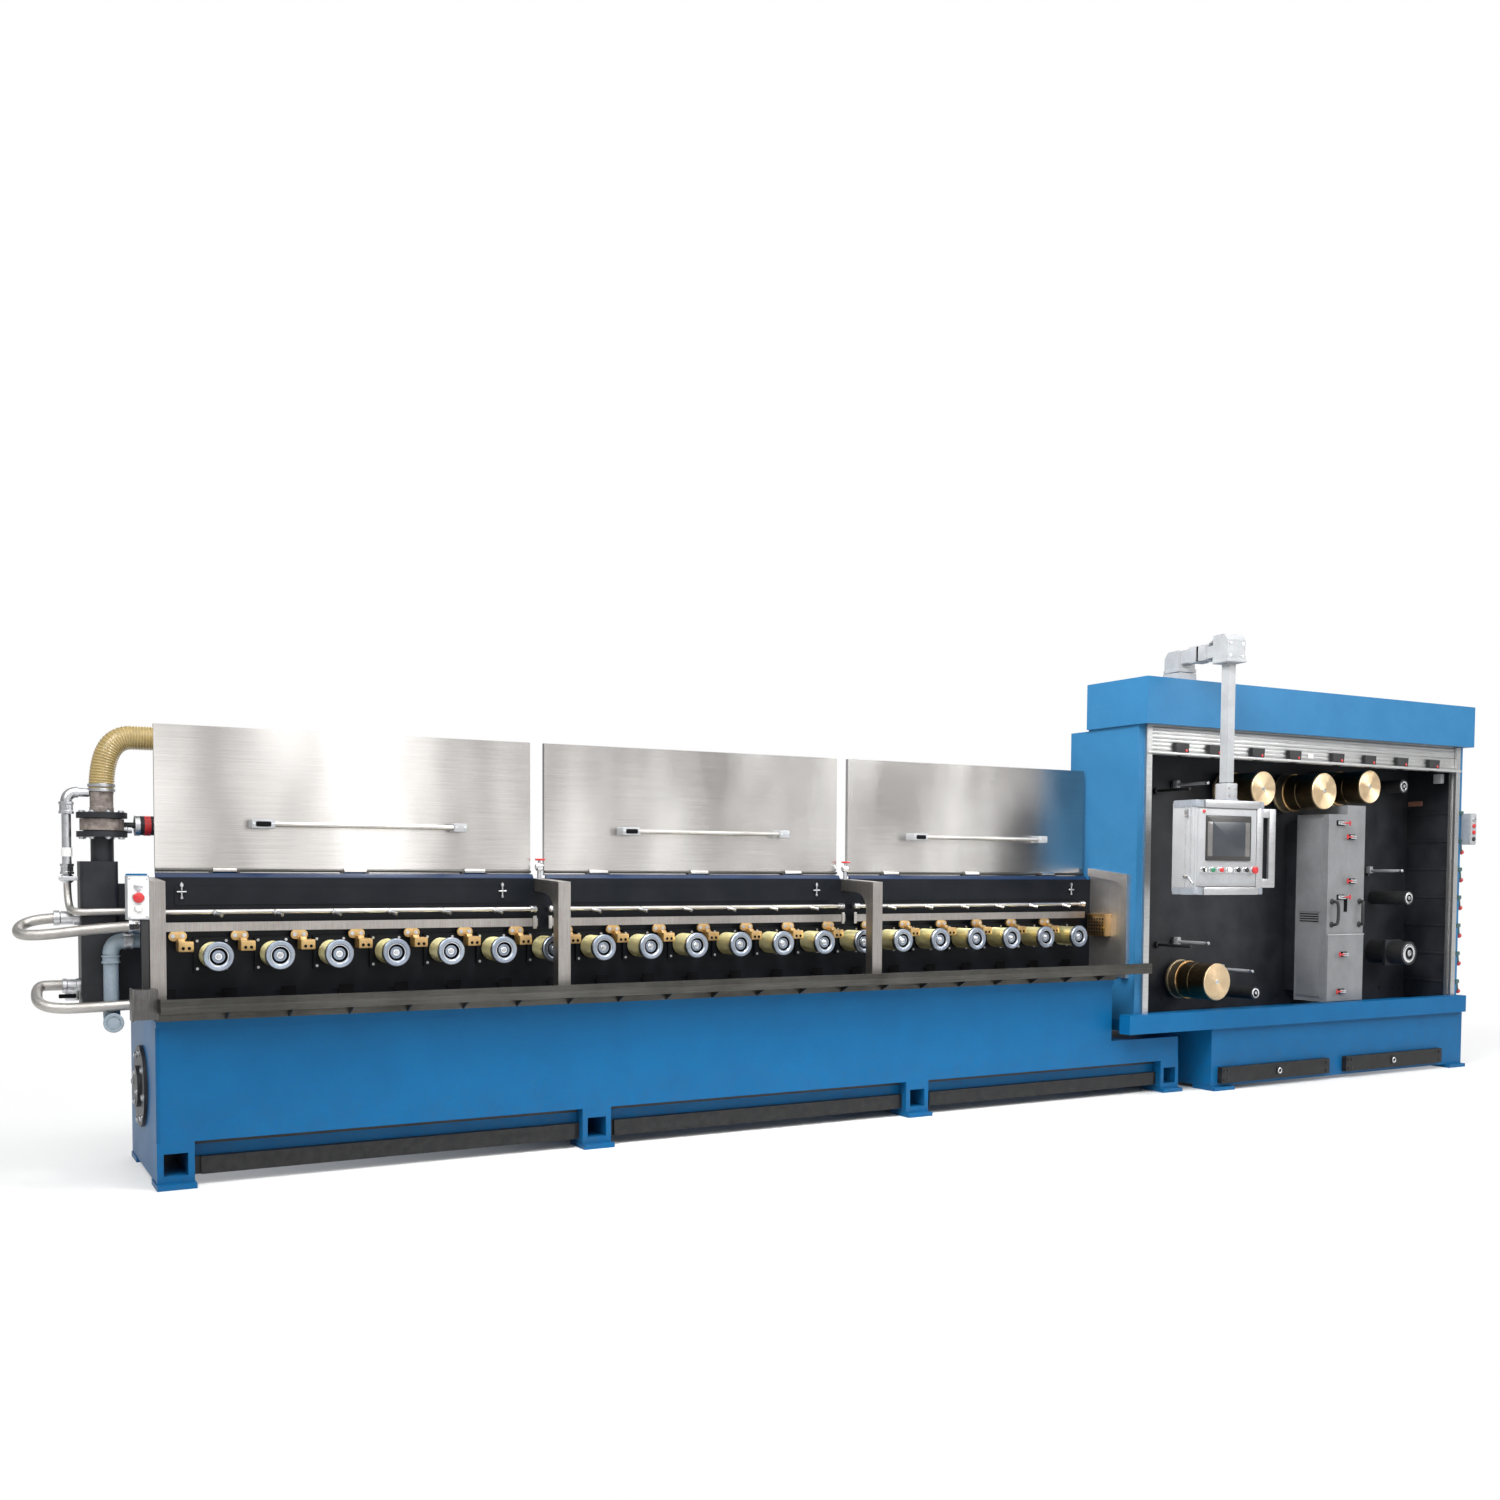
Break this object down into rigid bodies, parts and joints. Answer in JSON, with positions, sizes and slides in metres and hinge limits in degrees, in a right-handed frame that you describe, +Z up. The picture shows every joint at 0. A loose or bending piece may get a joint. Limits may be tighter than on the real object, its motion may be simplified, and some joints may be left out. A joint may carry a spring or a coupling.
{
  "type": "wire drawing machine",
  "caption": "Multi-wire drawing machine on a long blue base: open capstan chamber with lids, gutter, and an annealing cabinet with console at the outlet end.",
  "frame": {"origin": "middle of the machine's plan, on the floor", "axes": "+X along the line from the wire inlet to the cabinet, +Y from the operator's side to the back, +Z up"},
  "size_m": [8.092, 1.225, 2.39],
  "materials": {
    "blue_paint": "satin machine enamel",
    "black_paint": "semi-gloss black",
    "stainless": "brushed stainless sheet",
    "brass": "turned brass",
    "hard_straw_coat": "straw-coloured hard coat with a bright steel ring",
    "light_grey_paint": "light grey powder coat",
    "aluminium": "anodised slats",
    "lever_steel": "plated levers with red balls",
    "tan_hose": "ribbed translucent hose",
    "braided_steel": "braided hose and galvanised pipe"
  },
  "bodies": {
    "machine_frame": {"base_body": "blue_paint", "machine_feet": "blue_paint", "gear_housing": "blue_paint", "cabinet_plinth": "blue_paint", "cabinet_sill": "blue_paint", "cabinet_side_walls": "blue_paint", "cabinet_hood": "blue_paint", "cabinet_rear_housing": "blue_paint", "kick_bars": "black_paint", "end_flange": "black_paint", "chamber_wall": "black_paint", "cabinet_back_plate": "black_paint", "coolant_stack": "black_paint", "guide_rollers": "black_paint", "gutter": "stainless", "arch_posts": "stainless", "right_end_plate": "stainless", "die_rail": "stainless", "spray_pipe": "stainless", "lid_hinges": "stainless", "die_holders": "brass", "annealing_column": "light_grey_paint", "jib_foot": "light_grey_paint", "button_station": "light_grey_paint", "roller_shutter": "aluminium", "hand_levers": "lever_steel", "suction_hose": "tan_hose", "coolant_hoses": "braided_steel"},
    "lid_1": {"lid_1": "stainless", "lid_1_handle": "light_grey_paint"},
    "lid_2": {"lid_2": "stainless", "lid_2_handle": "light_grey_paint"},
    "lid_3": {"lid_3": "stainless", "lid_3_handle": "light_grey_paint"},
    "draw_capstan_01": {"draw_capstan_01": "hard_straw_coat"},
    "draw_capstan_02": {"draw_capstan_02": "hard_straw_coat"},
    "draw_capstan_03": {"draw_capstan_03": "hard_straw_coat"},
    "draw_capstan_04": {"draw_capstan_04": "hard_straw_coat"},
    "draw_capstan_05": {"draw_capstan_05": "hard_straw_coat"},
    "draw_capstan_06": {"draw_capstan_06": "hard_straw_coat"},
    "draw_capstan_07": {"draw_capstan_07": "hard_straw_coat"},
    "draw_capstan_08": {"draw_capstan_08": "hard_straw_coat"},
    "draw_capstan_09": {"draw_capstan_09": "hard_straw_coat"},
    "draw_capstan_10": {"draw_capstan_10": "hard_straw_coat"},
    "draw_capstan_11": {"draw_capstan_11": "hard_straw_coat"},
    "draw_capstan_12": {"draw_capstan_12": "hard_straw_coat"},
    "draw_capstan_13": {"draw_capstan_13": "hard_straw_coat"},
    "draw_capstan_14": {"draw_capstan_14": "hard_straw_coat"},
    "draw_capstan_15": {"draw_capstan_15": "hard_straw_coat"},
    "draw_capstan_16": {"draw_capstan_16": "hard_straw_coat"},
    "draw_capstan_17": {"draw_capstan_17": "hard_straw_coat"},
    "draw_capstan_18": {"draw_capstan_18": "hard_straw_coat"},
    "draw_capstan_19": {"draw_capstan_19": "hard_straw_coat"},
    "draw_capstan_20": {"draw_capstan_20": "hard_straw_coat"},
    "brass_drum_1": {"brass_drum_1": "brass"},
    "brass_drum_2": {"brass_drum_2": "brass"},
    "brass_drum_3": {"brass_drum_3": "brass"},
    "brass_drum_4": {"brass_drum_4": "brass"},
    "jib_arm": {"console_arm": "light_grey_paint"},
    "console": {"console_box": "light_grey_paint"}
  },
  "joints": [
    {"name": "lid_1_hinge", "type": "hinge", "parent": "machine_frame", "child": "lid_1", "pos_m": [-2.7855, 0.2015, 1.174], "axis": [1, 0, 0], "range_deg": [0, 130]},
    {"name": "lid_2_hinge", "type": "hinge", "parent": "machine_frame", "child": "lid_2", "pos_m": [-1.1835, 0.2015, 1.174], "axis": [1, 0, 0], "range_deg": [0, 130]},
    {"name": "lid_3_hinge", "type": "hinge", "parent": "machine_frame", "child": "lid_3", "pos_m": [0.4245, 0.2015, 1.174], "axis": [1, 0, 0], "range_deg": [0, 130]},
    {"name": "capstan_01_spin", "type": "hinge", "parent": "machine_frame", "child": "draw_capstan_01", "pos_m": [-3.357, 0.0735, 0.846], "axis": [0, 1, 0], "continuous": true},
    {"name": "capstan_02_spin", "type": "hinge", "parent": "machine_frame", "child": "draw_capstan_02", "pos_m": [-3.12814, 0.0735, 0.846], "axis": [0, 1, 0], "continuous": true},
    {"name": "capstan_03_spin", "type": "hinge", "parent": "machine_frame", "child": "draw_capstan_03", "pos_m": [-2.89929, 0.0735, 0.846], "axis": [0, 1, 0], "continuous": true},
    {"name": "capstan_04_spin", "type": "hinge", "parent": "machine_frame", "child": "draw_capstan_04", "pos_m": [-2.67043, 0.0735, 0.846], "axis": [0, 1, 0], "continuous": true},
    {"name": "capstan_05_spin", "type": "hinge", "parent": "machine_frame", "child": "draw_capstan_05", "pos_m": [-2.44157, 0.0735, 0.846], "axis": [0, 1, 0], "continuous": true},
    {"name": "capstan_06_spin", "type": "hinge", "parent": "machine_frame", "child": "draw_capstan_06", "pos_m": [-2.21271, 0.0735, 0.846], "axis": [0, 1, 0], "continuous": true},
    {"name": "capstan_07_spin", "type": "hinge", "parent": "machine_frame", "child": "draw_capstan_07", "pos_m": [-1.98386, 0.0735, 0.846], "axis": [0, 1, 0], "continuous": true},
    {"name": "capstan_08_spin", "type": "hinge", "parent": "machine_frame", "child": "draw_capstan_08", "pos_m": [-1.755, 0.0735, 0.846], "axis": [0, 1, 0], "continuous": true},
    {"name": "capstan_09_spin", "type": "hinge", "parent": "machine_frame", "child": "draw_capstan_09", "pos_m": [-1.52614, 0.0735, 0.846], "axis": [0, 1, 0], "continuous": true},
    {"name": "capstan_10_spin", "type": "hinge", "parent": "machine_frame", "child": "draw_capstan_10", "pos_m": [-1.29729, 0.0735, 0.846], "axis": [0, 1, 0], "continuous": true},
    {"name": "capstan_11_spin", "type": "hinge", "parent": "machine_frame", "child": "draw_capstan_11", "pos_m": [-1.06843, 0.0735, 0.846], "axis": [0, 1, 0], "continuous": true},
    {"name": "capstan_12_spin", "type": "hinge", "parent": "machine_frame", "child": "draw_capstan_12", "pos_m": [-0.83957, 0.0735, 0.846], "axis": [0, 1, 0], "continuous": true},
    {"name": "capstan_13_spin", "type": "hinge", "parent": "machine_frame", "child": "draw_capstan_13", "pos_m": [-0.61071, 0.0735, 0.846], "axis": [0, 1, 0], "continuous": true},
    {"name": "capstan_14_spin", "type": "hinge", "parent": "machine_frame", "child": "draw_capstan_14", "pos_m": [-0.38186, 0.0735, 0.846], "axis": [0, 1, 0], "continuous": true},
    {"name": "capstan_15_spin", "type": "hinge", "parent": "machine_frame", "child": "draw_capstan_15", "pos_m": [-0.153, 0.0735, 0.846], "axis": [0, 1, 0], "continuous": true},
    {"name": "capstan_16_spin", "type": "hinge", "parent": "machine_frame", "child": "draw_capstan_16", "pos_m": [0.07586, 0.0735, 0.846], "axis": [0, 1, 0], "continuous": true},
    {"name": "capstan_17_spin", "type": "hinge", "parent": "machine_frame", "child": "draw_capstan_17", "pos_m": [0.30471, 0.0735, 0.846], "axis": [0, 1, 0], "continuous": true},
    {"name": "capstan_18_spin", "type": "hinge", "parent": "machine_frame", "child": "draw_capstan_18", "pos_m": [0.53357, 0.0735, 0.846], "axis": [0, 1, 0], "continuous": true},
    {"name": "capstan_19_spin", "type": "hinge", "parent": "machine_frame", "child": "draw_capstan_19", "pos_m": [0.76243, 0.0735, 0.846], "axis": [0, 1, 0], "continuous": true},
    {"name": "capstan_20_spin", "type": "hinge", "parent": "machine_frame", "child": "draw_capstan_20", "pos_m": [0.99129, 0.0735, 0.846], "axis": [0, 1, 0], "continuous": true},
    {"name": "drum_1_spin", "type": "hinge", "parent": "machine_frame", "child": "brass_drum_1", "pos_m": [2.21207, -0.0105, 1.655], "axis": [0, 1, 0], "continuous": true},
    {"name": "drum_2_spin", "type": "hinge", "parent": "machine_frame", "child": "brass_drum_2", "pos_m": [2.72013, -0.0105, 1.657], "axis": [0, 1, 0], "continuous": true},
    {"name": "drum_3_spin", "type": "hinge", "parent": "machine_frame", "child": "brass_drum_3", "pos_m": [3.12089, -0.0105, 1.695], "axis": [0, 1, 0], "continuous": true},
    {"name": "drum_4_spin", "type": "hinge", "parent": "machine_frame", "child": "brass_drum_4", "pos_m": [1.87301, -0.0105, 0.585], "axis": [0, 1, 0], "continuous": true},
    {"name": "jib_swing", "type": "hinge", "parent": "machine_frame", "child": "jib_arm", "pos_m": [1.539, -0.1405, 2.3], "axis": [0, 0, 1], "range_deg": [-20, 20]},
    {"name": "console_swivel", "type": "hinge", "parent": "jib_arm", "child": "console", "pos_m": [1.484, -0.5155, 1.62], "axis": [0, 0, 1], "range_deg": [-30, 30]}
  ],
  "couplings": [
    {"joint": "capstan_01_spin", "follows": "capstan_20_spin", "ratio": 0.04308},
    {"joint": "capstan_02_spin", "follows": "capstan_20_spin", "ratio": 0.05083},
    {"joint": "capstan_03_spin", "follows": "capstan_20_spin", "ratio": 0.05998},
    {"joint": "capstan_04_spin", "follows": "capstan_20_spin", "ratio": 0.07078},
    {"joint": "capstan_05_spin", "follows": "capstan_20_spin", "ratio": 0.08352},
    {"joint": "capstan_06_spin", "follows": "capstan_20_spin", "ratio": 0.09855},
    {"joint": "capstan_07_spin", "follows": "capstan_20_spin", "ratio": 0.11629},
    {"joint": "capstan_08_spin", "follows": "capstan_20_spin", "ratio": 0.13722},
    {"joint": "capstan_09_spin", "follows": "capstan_20_spin", "ratio": 0.16192},
    {"joint": "capstan_10_spin", "follows": "capstan_20_spin", "ratio": 0.19106},
    {"joint": "capstan_11_spin", "follows": "capstan_20_spin", "ratio": 0.22546},
    {"joint": "capstan_12_spin", "follows": "capstan_20_spin", "ratio": 0.26604},
    {"joint": "capstan_13_spin", "follows": "capstan_20_spin", "ratio": 0.31393},
    {"joint": "capstan_14_spin", "follows": "capstan_20_spin", "ratio": 0.37043},
    {"joint": "capstan_15_spin", "follows": "capstan_20_spin", "ratio": 0.43711},
    {"joint": "capstan_16_spin", "follows": "capstan_20_spin", "ratio": 0.51579},
    {"joint": "capstan_17_spin", "follows": "capstan_20_spin", "ratio": 0.60863},
    {"joint": "capstan_18_spin", "follows": "capstan_20_spin", "ratio": 0.71818},
    {"joint": "capstan_19_spin", "follows": "capstan_20_spin", "ratio": 0.84746},
    {"joint": "drum_2_spin", "follows": "drum_1_spin", "ratio": 0.92308},
    {"joint": "drum_3_spin", "follows": "drum_1_spin", "ratio": 1},
    {"joint": "drum_4_spin", "follows": "drum_1_spin", "ratio": 0.94118}
  ]
}
